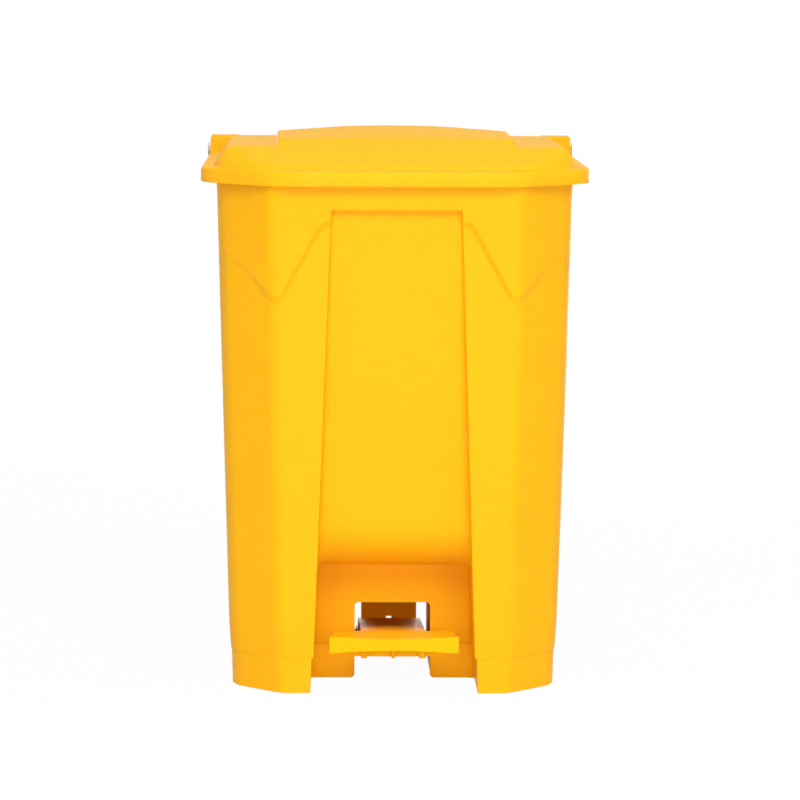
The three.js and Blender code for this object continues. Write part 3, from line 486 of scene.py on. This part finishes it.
def bucket():
    outer = bucket_rings()
    ledge_rings = [[p for p in ring if abs(p[0]) < CREASE_END] for ring in outer[LEDGE_RINGS]]
    rings = outer + bucket_hollow_rings()
    shell = loft("bucket", rings + rings[:1], caps=False, seam=True)
    floor_plate = [ring_at(z, inset=1.2) for z in (FLOOR_Z - WALL, FLOOR_Z)]
    combine(shell, loft("floor_plate", floor_plate), "UNION")
    for side in (-1, 1):
        xs = sorted((side * CHANNEL_HALF, side * (CHANNEL_HALF + WALL)))
        rib = [(xs[0], LOWER_PANEL + 1.2, 1.0), (xs[1], CHANNEL_Y - 1.0, FLOOR_Z - 1.5)]
        combine(shell, block("rib", *rib, edge=0), "UNION")
        combine(shell, knuckle(side), "UNION")
    for node_name in ("guide_strap_lower", "guide_strap_upper"):
        low, high = mm_box(node_name)
        seat = high.y - STRAP_THICK - 0.3
        for side in (-1, 1):
            xs = sorted((side * (CHANNEL_HALF + 1.0), side * (high.x - 1.0)))
            boss = block("boss", (xs[0], seat - 15.0, low.z), (xs[1], seat, high.z), edge=0.8)
            combine(shell, boss, "UNION")
            centre = (side * (high.x - SCREW_INSET), seat, (low.z + high.z) / 2)
            combine(shell, turned("hole", "Y", centre, [(-12, SCREW_BORE), (4, SCREW_BORE)]))
        pad = block("pad", (-23.5, CHANNEL_Y - 1.0, low.z), (23.5, bar_low.y - 1.2, high.z), edge=0.8)
        combine(shell, pad, "UNION")
    arch = [(-SLOT_HALF, 3.0), (-SLOT_HALF - 3.0, 0.0), (-SLOT_HALF - 3.0, -5.0)]
    arch += [(SLOT_HALF + 3.0, -5.0), (SLOT_HALF + 3.0, 0.0), (SLOT_HALF, 3.0)]
    arch += arc(SLOT_HALF - SLOT_BEND, SLOT_TOP - SLOT_BEND, SLOT_BEND, 0, 90, 6)
    arch += arc(-SLOT_HALF + SLOT_BEND, SLOT_TOP - SLOT_BEND, SLOT_BEND, 90, 180, 6)
    ys = (LOWER_PANEL - 8.0, LOWER_PANEL + 9.0)
    combine(shell, loft("slot", [[(x, y, z) for x, z in arch] for y in ys]))
    rear_gap = block("rear_gap", (-CHANNEL_HALF, 120.0, -5.0), (CHANNEL_HALF, 140.0, FLOOR_Z - WALL), edge=0)
    combine(shell, rear_gap)
    combine(shell, turned("axle_bore", "X", (0, AXLE_Y, AXLE_Z), [(-60, AXLE_BORE), (60, AXLE_BORE)]))
    combine(shell, turned("hinge_bore", "X", (0, HINGE_Y, HINGE_Z), [(-210, PIN_BORE), (210, PIN_BORE)]))
    crisp(shell, ledge_rings)
    return smooth(shell, 21)


def knuckle(side):
    outline = [(NECK_Y - 2.0, HINGE_Z - 38.0), *arc(HINGE_Y, HINGE_Z, 10.0, -50, 190, 18)]
    outline += [(HINGE_Y - 18.0, HINGE_Z - 13.0), (NECK_Y - 2.0, HINGE_Z - 13.0)]
    xs = sorted((side * 176.0, side * 192.5))
    return plate("knuckle", outline, *xs, edge=0.8)


# ---- Lid ----
def soft_min(a, b, reach):
    h = max(0.0, reach - abs(a - b)) / reach
    return min(a, b) - h * h * reach / 4


def lid_height(x, y, crown_slope=2.9):
    """Height of the dome, its tier and the crown, whose sides are less steep on the inner face."""
    x = abs(x)
    front = DOME_Z + (y - DOME_FRONT) * 0.375
    side = DOME_Z + (DOME_HALF - 6.0 * (y + 130.0) / 326.0 - x) * 1.3
    chamfer = DOME_Z + ((DOME_CORNER - x) * 0.7446 + (y - DOME_FRONT) * 0.6676) * 1.35
    rear = DOME_Z + (DOME_REAR - y) * 1.2
    tier = TIER_Z - (y + 130.0) * TIER_FALL / 312.0
    dome = soft_min(soft_min(soft_min(front, side, 5), chamfer, 6), rear, 4)
    dome = soft_min(dome, tier, 3.5)
    swell = 4.9 * max(0.0, 1 - ((y - 15.0) / 125.0) ** 2)
    swell -= 4.2 * min(1.0, max(0.0, y + 110.0) / 110.0) ** 0.7 * (x / 112.0) ** 2
    disc = 0.75 / (1 + math.exp((math.hypot(x, y - 20.0) - 86.0) / 0.9))
    plateau = CROWN_Z + swell + disc
    crown = soft_min(front + 0.25, CROWN_FOOT_Z + (CROWN_HALF - x) * crown_slope, 3.0)
    crown = soft_min(crown, CROWN_FOOT_Z + (CROWN_REAR - y) * 1.35, 4.0)
    crown = soft_min(crown, plateau, 3.0)
    return -soft_min(-dome, -crown, 3.0)


# Shares of the way along the cut-off corner where the rim and the dome's foot have a point.
SPOKES = (0.42, 0.47, 0.53, 0.58)


def lid_rim():
    """Half of the hem's outline in plan, from the middle of the front to the middle of the rear."""
    half, rear_half, depth = LID_HALF, LID_REAR_HALF, LID_DEPTH
    across, back_by = half - RIM_CORNER, 73.0
    return rounded([
        *[(x, -depth, 0, 0) for x in (0, 45, 88)],
        (RIM_CORNER, -depth, 25, 14),
        *[(RIM_CORNER + across * t, -depth + back_by * t, 0, 0) for t in SPOKES],
        (half, back_by - depth, 25, 14), (half, -90.0, 9, 3),
        *[(half - 4.5 * (y + 90) / 246, y, 0, 0) for y in (-60, -30, 0, 30, 60, 90, 120, 145)],
        *[(rear_half, y, 0, 0) for y in (155.6, 156.4, 178.0)], (rear_half, depth, 8, 6),
        *[(x, depth, 0, 0) for x in (170, 125, 82, 40, 0)],
    ])


def lid_foot():
    """The foot of the dome in plan, point for point with the rim."""
    half, front, rear = DOME_HALF, DOME_FRONT, DOME_REAR
    across, back_by = half - DOME_CORNER, 58.0
    return rounded([
        *[(x, front, 0, 0) for x in (0, 50, 98)],
        (DOME_CORNER, front, 30, 14),
        *[(DOME_CORNER + across * t, front + back_by * t, 0, 0) for t in SPOKES],
        (half, front + back_by, 30, 14), (197.3, -90.0, 5, 3),
        *[(half - 6.0 * (y + 130) / 326, y, 0, 0) for y in (-62, -31, 0, 30, 60, 90, 120, 145)],
        (192.7, 155.6, 0, 0), (192.7, 156.4, 0, 0), (192.4, 176.0, 0, 0), (192.0, rear, 8, 6),
        *[(x, rear, 0, 0) for x in (158, 118, 78, 38, 0)],
    ])


def lid_rings():
    """From the crown's middle out over the dome and down to the hem, then back up the inner face."""
    rim, foot = lid_rim(), lid_foot()
    hem = [560.0 if y > 156 else 552.0 for _, y in rim]
    centre = Vector((0.0, 5.0))
    shares = [0.985, 0.965] + [0.95 - 0.0132 * k for k in range(13)]
    shares += [0.7784 - 0.0045 * k for k in range(44)] + [0.58 - 0.0132 * k for k in range(42)]

    def dome(share, wall):
        ring = []
        for p in foot:
            spoke = (p - centre) * share
            x, y = centre + spoke
            if wall:
                out = centre + spoke * (1 + 2.2 / max(20.0, spoke.length))
                ring.append((x, y, lid_height(*out, 1.1) - wall))
            else:
                ring.append((x, y, lid_height(x, y)))
        return mirrored(ring)

    rings = [dome(share, 0.0) for share in reversed(shares)]
    steps = [(1.02, 569.3), (0.985, 568.6), (0.95, 568.7), (0.9, 569.3), (0.8, 569.4), (0.5, 568.6)]
    for angle in (75, 55, 35, 15):
        turn = math.radians(angle)
        steps.append((0.3 * (1 - math.cos(turn)), 564.3 + 3.8 * math.sin(turn)))
    rings += [mirrored([(*a.lerp(b, share), z) for a, b in zip(rim, foot)]) for share, z in steps]
    for lift in (9.0, 1.2, 0.3, 0.0):
        shrink = {0.3: 0.9985, 0.0: 0.9965}.get(lift, 1.0)
        lifted = [(x * shrink, y * shrink, min(564.2, z + lift)) for (x, y), z in zip(rim, hem)]
        rings.append(mirrored(lifted))
    inner = [(x * (1 - WALL / LID_HALF), y * (1 - WALL / LID_DEPTH)) for x, y in rim]
    rings.append(mirrored([(x, y, z) for (x, y), z in zip(inner, hem)]))
    rings.append(mirrored([(x, y, 563.2) for x, y in inner]))
    rings.append(mirrored([(*Vector(a).lerp(b * 0.97, 0.97), 565.4) for a, b in zip(inner, foot)]))
    return rings + [dome(share, WALL) for share in [0.95 - 0.0132 * k for k in range(70)]]


def ear(side, inset):
    """A hinge ear's block, or with an inset the hollow in it; its outer cheek leans in a little."""
    front, rear, top = EAR_FRONT + inset, LID_DEPTH - inset, EAR_TOP - inset
    bottom = 540.0 if inset else 560.0
    outline = [(front, bottom), (rear, bottom), *arc(rear - 5.0, top - 5.0, 5.0, 0, 90, 6), (front, top)]
    outer = [(side * (LID_REAR_HALF - inset - 1.7 * max(0.0, z - 566.0) / 20.0), y, z) for y, z in outline]
    inner = [(side * (EAR_IN + inset), y, z) for y, z in outline]
    made = loft("ear", [inner, outer])
    if not inset:
        apply(made, "BEVEL", width=1.6 * MM, segments=3, limit_method="ANGLE", angle_limit=math.radians(50))
    return made


def lift_lug(side):
    """A lug under the lid, with the slot that the upper link pin slides in."""
    lean = math.radians(joints["lid_hinge"]["range_deg"][1]) / 2
    reach = HINGE_Y - LINK_Y

    def at(r):
        return HINGE_Y - r * math.cos(lean), HINGE_Z - r * math.sin(lean)

    def capsule(radius):
        tilt = 90 + math.degrees(lean)
        far, near = at(reach / math.cos(lean)), at(reach - 2.0)
        return arc(*far, radius, tilt, tilt + 180) + arc(*near, radius, tilt - 180, tilt)

    far_z = at(reach / math.cos(lean))[1]
    web = [(LINK_Y - 6, far_z), (LINK_Y + 14, far_z + 8), (LINK_Y + 14, 586.0), (LINK_Y - 9, 586.0)]
    xs = sorted((side * 33.5, side * 37.5))
    lug = plate("lug", capsule(10.25), *xs)
    combine(lug, plate("web", web, *xs), "UNION")
    cutter = plate("lug_slot", capsule(5.25), xs[0] - 1, xs[1] + 1)
    return combine(lug, cutter)


def lid():
    shell = loft("lid", lid_rings())
    for side in (-1, 1):
        combine(shell, ear(side, 0.0), "UNION")
        combine(shell, ear(side, WALL))
        xs = sorted((side * 193.1, side * 204.5))
        boss = turned("boss", "X", (0, HINGE_Y, HINGE_Z), [(xs[0], 8.6), (xs[1], 8.6)])
        combine(shell, boss, "UNION")
        combine(shell, lift_lug(side), "UNION")
    combine(shell, turned("hinge_bore", "X", (0, HINGE_Y, HINGE_Z), [(-215, PIN_BORE), (215, PIN_BORE)]))
    return smooth(shell)


# ---- Pedal ----
def tread_section(x):
    """The tread cut across X: front lip, dished top and rear skirt."""
    share = abs(x) / TREAD_HALF
    lip_top = 59.6 + 2.6 * share ** 2
    lip_foot = 46.3 - 3.0 * share ** 2
    end = max(0.0, (abs(x) - TREAD_FLAT) / (TREAD_HALF - TREAD_FLAT))
    skirt = 32.8 + 0.6 * share + 7.5 * max(0.0, (abs(x) - 54.0) / 16.0)
    front, rear = TREAD_FRONT, TREAD_REAR
    return [
        (front + 0.8, lip_foot), (front, lip_foot + 0.8), (front, lip_top - 0.8), (front + 0.8, lip_top),
        (front + 3.2, lip_top), (front + 6.0, lip_top - 1.4 - 4.5 * end), (front + 20.0, 59.3 - 3.5 * end),
        (rear - 6.0, 60.5 - 0.8 * end), (rear - 0.8, 60.8), (rear, 60.0), (rear, skirt),
        (rear - 3.0, skirt), (rear - 3.0, 55.5), (front + 8.0, 55.5), (front + 3.0, 53.0),
        (front + 3.0, lip_foot),
    ]


def pedal():
    xs = sorted([-TREAD_HALF + 2.0 * k for k in range(71)] + [-TREAD_FLAT, TREAD_FLAT])
    rings = []
    for x in xs:
        ring = []
        for y, z in tread_section(x):
            taper = 1 - 0.079 * max(0.0, y + 157.0) / 42.0
            ring.append((x * taper, y, z))
        rings.append(ring)
    made = loft("pedal", rings)
    for x, half in ((-32.0, 3.2), (0.0, 1.8), (31.5, 3.6)):
        foot = block("foot", (x - half, -124.0, 31.6), (x + half, -115.6, 57.0), edge=0.8)
        combine(made, foot, "UNION")
    fork = LINK_Y - 15.0
    arm_end = LOWER_PIN_Z + 18.3
    deck = [(-117.0, 57.0), (fork, arm_end - 3.0), (fork, arm_end), (-117.0, 60.0)]
    combine(made, plate("deck", deck, -35.5, 35.5, edge=0.7), "UNION")
    flange = [(-119.0, 59.0), (-119.0, 39.0), (AXLE_Y - 14, AXLE_Z - 10), (AXLE_Y + 14, AXLE_Z - 10)]
    flange += [*arc(LINK_Y, LOWER_PIN_Z, 9.0, -110, 80, 14), (fork, arm_end - 0.5)]
    for side in (-1, 1):
        xs = sorted((side * 32.5, side * 35.3))
        combine(made, plate("flange", flange, *xs, edge=0.5), "UNION")
    combine(made, turned("hub", "X", (0, AXLE_Y, AXLE_Z), [(-35.4, 9), (35.4, 9)]), "UNION")
    combine(made, turned("axle_bore", "X", (0, AXLE_Y, AXLE_Z), [(-60, AXLE_BORE), (60, AXLE_BORE)]))
    combine(made, turned("pin_bore", "X", (0, LINK_Y, LOWER_PIN_Z), [(-60, PIN_BORE), (60, PIN_BORE)]))
    return smooth(made)


# ---- Push bar, straps, pins, clips and screws ----
def push_bar():
    low, high = bar_low, bar_high
    top_corner = (high.x, low.y + 3, UPPER_PIN_Z + 4)
    made = block("push_bar_piece", (low.x, low.y, LOWER_PIN_Z - 4), top_corner, edge=0.5)
    outline = [(low.y, LOWER_PIN_Z - 4), *arc(high.y - 8, LOWER_PIN_Z, 8, -90, 0, 8)]
    outline += [*arc(high.y - 8, UPPER_PIN_Z, 8, 0, 90, 8), (low.y, UPPER_PIN_Z + 4)]
    for side in (-1, 1):
        xs = sorted((side * 28.5, side * 31.5))
        combine(made, plate("flange", outline, *xs, edge=0.4), "UNION")
    for z in (100.0, 300.0, 480.0):
        web = block("web", (-29, low.y + 1, z - 1.2), (29, low.y + 10, z + 1.2), edge=0.4)
        combine(made, web, "UNION")
    combine(made, block("hole", (-3, low.y - 2, 35.0), (3, low.y + 6, 38.0), edge=0))
    for z in (LOWER_PIN_Z, UPPER_PIN_Z):
        combine(made, turned("bore", "X", (0, LINK_Y, z), [(-60, PIN_BORE), (60, PIN_BORE)]))
    return smooth(made)


def guide_strap(node_name):
    low, high = mm_box(node_name)
    bridge_y = high.y - STRAP_THICK
    made = block(node_name + "_piece", (low.x, bridge_y, low.z), high, edge=1.0, segments=3)
    tongue = block("tongue", (-41.7, low.y, low.z + 1.0), (41.7, bridge_y + 1.0, high.z - 1.0), edge=0.8)
    combine(made, tongue, "UNION")
    for side in (-1, 1):
        centre = (side * (high.x - SCREW_INSET), bridge_y, (low.z + high.z) / 2)
        combine(made, turned("hole", "Y", centre, [(-2, SCREW_BORE), (6, SCREW_BORE)]))
        rib_z = centre[2] + side * 8
        rib = block("rib", (-41, high.y - 0.5, rib_z - 1), (41, high.y + 1.2, rib_z + 1), edge=0.4)
        combine(made, rib, "UNION")
    return smooth(made)


def pin(node_name):
    low, high = mm_box(node_name)
    centre, half, radius = (low + high) / 2, (high.x - low.x) / 2, (high.z - low.z) / 2
    chamfer = 0.6
    profile = [(-half, radius - chamfer), (-half + chamfer, radius)]
    profile += [(half - chamfer, radius), (half, radius - chamfer)]
    return smooth(turned(node_name + "_piece", "X", centre, profile))


def hinge_pin(node_name):
    low, high = mm_box(node_name)
    centre = (low + high) / 2
    side = 1 if centre.x > 0 else -1
    inner, outer = sorted((abs(low.x), abs(high.x)))
    profile = [(inner, 3.4), (inner + 0.6, 4.0), (outer - 1.9, 4.0), (outer - 1.8, 8.2), (outer - 1.4, 8.6)]
    profile += [(outer - 1.0, 8.55), (outer - 0.5, 7.9), (outer - 0.15, 5.6), (outer, 2.5)]
    profile = [(side * x, r) for x, r in profile]
    return smooth(turned(node_name + "_piece", "X", (0, centre.y, centre.z), profile, sides=48))


def ring_clip(node_name, bore):
    low, high = mm_box(node_name)
    centre, half, radius = (low + high) / 2, (high.x - low.x) / 2, (high.z - low.z) / 2
    loop = [(-half, bore), (-half, radius - 0.5), (-half + 0.4, radius), (half - 0.4, radius)]
    loop += [(half, radius - 0.5), (half, bore), (-half, bore)]
    made = turned(node_name + "_piece", "X", centre, loop, seam=True)
    for k in range(3):
        a = 2 * math.pi * k / 3
        slit = Vector((0, math.cos(a), math.sin(a))) * (bore + 1.0)
        spot = centre + slit
        notch = block("notch", spot - Vector((2, 0.7, 0.7)), spot + Vector((2, 0.7, 0.7)), edge=0)
        combine(made, notch)
    return smooth(made)


def screw(node_name):
    low, high = mm_box(node_name)
    centre = (low + high) / 2
    head = high.y - 2.6
    profile = [(low.y, 0.6), (low.y + 2.0, 2.0), (head, 2.0), (head + 0.05, 4.2), (head + 0.4, 4.5)]
    profile += [(head + 1.2, 4.3), (head + 2.1, 3.2), (high.y, 1.5)]
    made = turned(node_name + "_piece", "Y", (centre.x, 0, centre.z), profile, sides=32)
    for wide, tall in ((2.4, 0.5), (0.5, 2.4)):
        low_corner = (centre.x - wide, high.y - 1.3, centre.z - tall)
        high_corner = (centre.x + wide, high.y + 1.0, centre.z + tall)
        combine(made, block("cross", low_corner, high_corner, edge=0))
    return smooth(made)


place(bucket(), "bin_body", "yellow_plastic", BUCKET_YELLOW, "body_shell")
place(lid(), "lid", "yellow_plastic", LID_YELLOW, "lid_shell")
place(pedal(), "pedal", "yellow_plastic", PEDAL_YELLOW, "pedal_lever")
place(push_bar(), "lift_bar", "yellow_plastic", PEDAL_YELLOW, "push_bar")
for level in ("lower", "upper"):
    strap = f"guide_strap_{level}"
    place(guide_strap(strap), "bin_body", "yellow_plastic", PEDAL_YELLOW, strap)
    for name in (f"strap_screw_{level}_left", f"strap_screw_{level}_right"):
        place(screw(name), "bin_body", "steel", STEEL, name)
PINS = {"pedal_axle": "bin_body", "lower_link_pin": "pedal", "upper_link_pin": "lift_bar"}
for name, body in PINS.items():
    place(pin(name), body, "steel", STEEL, name)
CLIPS = {"axle_clip": (AXLE_BORE, "bin_body"), "lower_link_clip": (PIN_BORE, "pedal"),
         "upper_link_clip": (PIN_BORE, "lift_bar"), "hinge_clip": (PIN_BORE, "bin_body")}
for end in ("left", "right"):
    place(hinge_pin(f"hinge_pin_{end}"), "bin_body", "steel", STEEL, f"hinge_pin_{end}")
    for kind, (bore, body) in CLIPS.items():
        name = f"{kind}_{end}"
        place(ring_clip(name, bore), body, "steel", STEEL, name)


# ---- Floor, light and camera ----
def pale_floor():
    """A pale floor, seen by the camera and in the steel as the white background."""
    clear()
    bpy.ops.mesh.primitive_plane_add(size=6, location=(0, 0, -0.0003))
    ground = bpy.context.object
    ground.name = "floor"
    made = bpy.data.materials.new("pale_floor")
    made.use_nodes = True
    tree = made.node_tree
    shader = tree.nodes["Principled BSDF"]
    shader.inputs["Base Color"].default_value = (0.88, 0.88, 0.88, 1)
    shader.inputs["Roughness"].default_value = 0.9
    shader.inputs["Specular IOR Level"].default_value = 0.1
    glow = node(tree, "ShaderNodeEmission", Strength=1.0)
    rays = node(tree, "ShaderNodeLightPath")
    seen = node(tree, "ShaderNodeMath", operation="MAXIMUM")
    share = node(tree, "ShaderNodeMath", operation="MULTIPLY")
    share.inputs[1].default_value = FLOOR_GLOW
    both = node(tree, "ShaderNodeMixShader")
    tree.links.new(rays.outputs["Is Camera Ray"], seen.inputs[0])
    tree.links.new(rays.outputs["Is Glossy Ray"], seen.inputs[1])
    tree.links.new(seen.outputs[0], share.inputs[0])
    tree.links.new(share.outputs[0], both.inputs[0])
    tree.links.new(shader.outputs[0], both.inputs[1])
    tree.links.new(glow.outputs[0], both.inputs[2])
    tree.links.new(both.outputs[0], tree.nodes["Material Output"].inputs["Surface"])
    ground.data.materials.append(made)


def studio_world():
    world = bpy.data.worlds.new("studio")
    bpy.context.scene.world = world
    world.use_nodes = True
    tree = world.node_tree
    back = tree.nodes["Background"]
    back.inputs["Color"].default_value = (1, 1, 1, 1)
    rays = node(tree, "ShaderNodeLightPath")
    seen = node(tree, "ShaderNodeMath", operation="MAXIMUM")
    through = node(tree, "ShaderNodeMath", operation="MAXIMUM")
    level = node(tree, "ShaderNodeMapRange")
    level.inputs["To Min"].default_value = AMBIENT
    level.inputs["To Max"].default_value = 1.0
    tree.links.new(rays.outputs["Is Camera Ray"], seen.inputs[0])
    tree.links.new(rays.outputs["Is Glossy Ray"], seen.inputs[1])
    tree.links.new(seen.outputs[0], through.inputs[0])
    tree.links.new(rays.outputs["Is Transmission Ray"], through.inputs[1])
    tree.links.new(through.outputs[0], level.inputs["Value"])
    tree.links.new(level.outputs["Result"], back.inputs["Strength"])


def lamp(name, place_at, aim, size, power):
    light = bpy.data.lights.new(name, "AREA")
    light.shape = "RECTANGLE"
    light.size, light.size_y = size
    light.energy = power
    ob = bpy.data.objects.new(name, light)
    bpy.context.scene.collection.objects.link(ob)
    ob.location = place_at
    ob.rotation_euler = (Vector(aim) - Vector(place_at)).to_track_quat("-Z", "Y").to_euler()


AMBIENT = 0.28
FLOOR_GLOW = 0.965
pale_floor()
studio_world()
MIDDLE = (0.0, 0.0, 0.3)
lamp("high_light", (0.2, -3.1, 2.6), MIDDLE, (2.6, 1.6), 87)
lamp("low_light", (0.15, -3.4, 0.42), MIDDLE, (3.0, 0.75), 37)
lamp("top_light", (0.1, -0.7, 3.2), MIDDLE, (1.8, 1.2), 27)
lamp("left_light", (-3.0, 0.5, 1.1), MIDDLE, (1.6, 2.0), 6)
lamp("right_light", (3.0, 0.4, 1.1), MIDDLE, (1.6, 2.0), 7)
lamp("rear_light", (0.6, 3.2, 0.34), MIDDLE, (2.6, 0.5), 62)


def camera():
    data = bpy.data.cameras.new("view")
    data.sensor_width = 36.0
    data.lens = 213.73
    data.clip_end = 100.0
    ob = bpy.data.objects.new("view", data)
    bpy.context.scene.collection.objects.link(ob)
    yaw, pitch, roll = -0.0227, 0.1072, 0.0051
    level = Vector((-math.sin(yaw), math.cos(yaw), 0.0))
    forward = level * math.cos(pitch) - Vector((0, 0, math.sin(pitch)))
    right = forward.cross(Vector((0, 0, 1))).normalized()
    up = right.cross(forward)
    right, up = right * math.cos(roll) + up * math.sin(roll), up * math.cos(roll) - right * math.sin(roll)
    turn = Matrix((right, up, -forward)).transposed().to_4x4()
    ob.matrix_world = Matrix.Translation((-0.1107, -5.2524, 0.8678)) @ turn
    bpy.context.scene.camera = ob


camera()
bpy.context.scene.view_settings.view_transform = "Standard"
